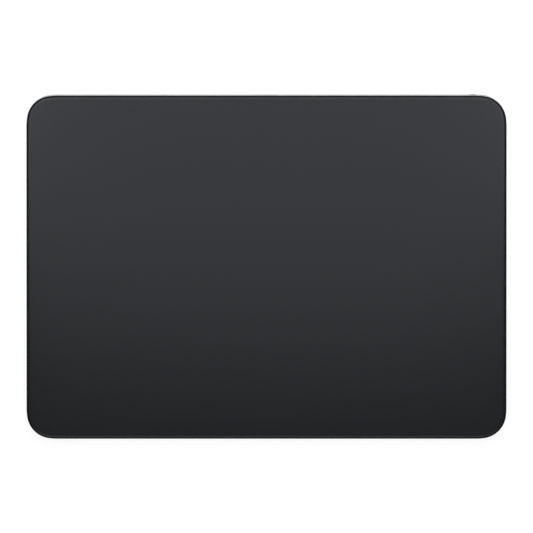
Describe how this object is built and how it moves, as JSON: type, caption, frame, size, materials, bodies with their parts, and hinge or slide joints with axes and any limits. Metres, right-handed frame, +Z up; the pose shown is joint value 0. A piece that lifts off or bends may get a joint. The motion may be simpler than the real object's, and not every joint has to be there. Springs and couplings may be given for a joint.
{
  "type": "trackpad",
  "caption": "Slim wedge-shaped desk trackpad: a satin black glass plate floats on leaf flexures over a machined aluminium tray with a charging socket and a slide switch in its rear wall.",
  "frame": {"origin": "on the desk plane, under the middle of the footprint", "axes": "+X to the user's right, +Y to the rear (the thick end with the socket and the switch), +Z up"},
  "size_m": [0.16, 0.1149, 0.0108],
  "materials": {
    "anodised_aluminium": "satin",
    "satin_black_glass": "satin",
    "bond_film": "satin",
    "milled_aluminium": "satin",
    "green_board": "satin",
    "chip_black": "matte",
    "moulded_black": "matte",
    "pouch_foil": "satin",
    "tape": "matte",
    "tinned_steel": "satin",
    "stainless_steel": "satin",
    "spring_steel": "satin",
    "screw_steel": "satin",
    "core_steel": "satin",
    "gold_plate": "gloss",
    "copper": "satin",
    "isolator_rubber": "matte",
    "foot_rubber": "matte",
    "flex_amber": "satin"
  },
  "bodies": {
    "base": {"actuator_bracket": "stainless_steel", "actuator_cable": "flex_amber", "actuator_core": "core_steel", "anchor_screws": "screw_steel", "antenna": "copper", "antenna_cable": "flex_amber", "antenna_carrier": "moulded_black", "battery_board": "green_board", "battery_cell": "pouch_foil", "battery_lead": "flex_amber", "battery_tape": "tape", "board_chips": "chip_black", "board_connectors": "moulded_black", "board_screws": "screw_steel", "bracket_screws": "screw_steel", "coil_1": "copper", "coil_2": "copper", "coil_3": "copper", "coil_4": "copper", "controller_shield": "tinned_steel", "core_screws": "screw_steel", "flexure_front_left": "spring_steel", "flexure_front_right": "spring_steel", "flexure_rear_left": "spring_steel", "flexure_rear_right": "spring_steel", "foot_front_left": "foot_rubber", "foot_front_right": "foot_rubber", "foot_rear_left": "foot_rubber", "foot_rear_right": "foot_rubber", "housing": "anodised_aluminium", "logic_board": "green_board", "radio_shield": "tinned_steel", "rear_screws": "screw_steel", "socket_cable": "flex_amber", "socket_can": "stainless_steel", "socket_contacts": "gold_plate", "socket_gasket": "isolator_rubber", "socket_insulator": "moulded_black", "socket_strap": "stainless_steel", "strain_gauges": "flex_amber", "switch_body": "moulded_black", "switch_cable": "flex_amber", "switch_contacts": "gold_plate", "switch_liner": "moulded_black", "touch_cable": "flex_amber"},
    "press_stage": {"isolator_front_left": "isolator_rubber", "isolator_front_right": "isolator_rubber", "isolator_rear_left": "isolator_rubber", "isolator_rear_right": "isolator_rubber"},
    "touch_plate": {"glass": "satin_black_glass", "glass_bond": "bond_film", "sensor_board": "green_board", "carrier_plate": "milled_aluminium", "touch_chips": "chip_black", "touch_connector": "moulded_black", "attraction_bar": "core_steel", "attraction_screws": "screw_steel", "plate_screws": "screw_steel"},
    "power_slider": {"switch_slider": "anodised_aluminium"}
  },
  "joints": [
    {"name": "press_travel", "type": "slide", "parent": "base", "child": "press_stage", "axis": [0, 0.0524, -0.9986], "range_m": [0, 0.0002], "stiffness_N_per_m": 15000, "springref_m": -0.0002, "deforming": ["flexure_front_left", "flexure_front_right", "flexure_rear_left", "flexure_rear_right", "touch_cable"]},
    {"name": "haptic_travel", "type": "slide", "parent": "press_stage", "child": "touch_plate", "axis": [0, 0.9986, 0.0524], "range_m": [-0.00015, 0.00015], "stiffness_N_per_m": 20000},
    {"name": "switch_travel", "type": "slide", "parent": "base", "child": "power_slider", "axis": [1, 0, 0], "range_m": [-0.0023, 0]}
  ]
}
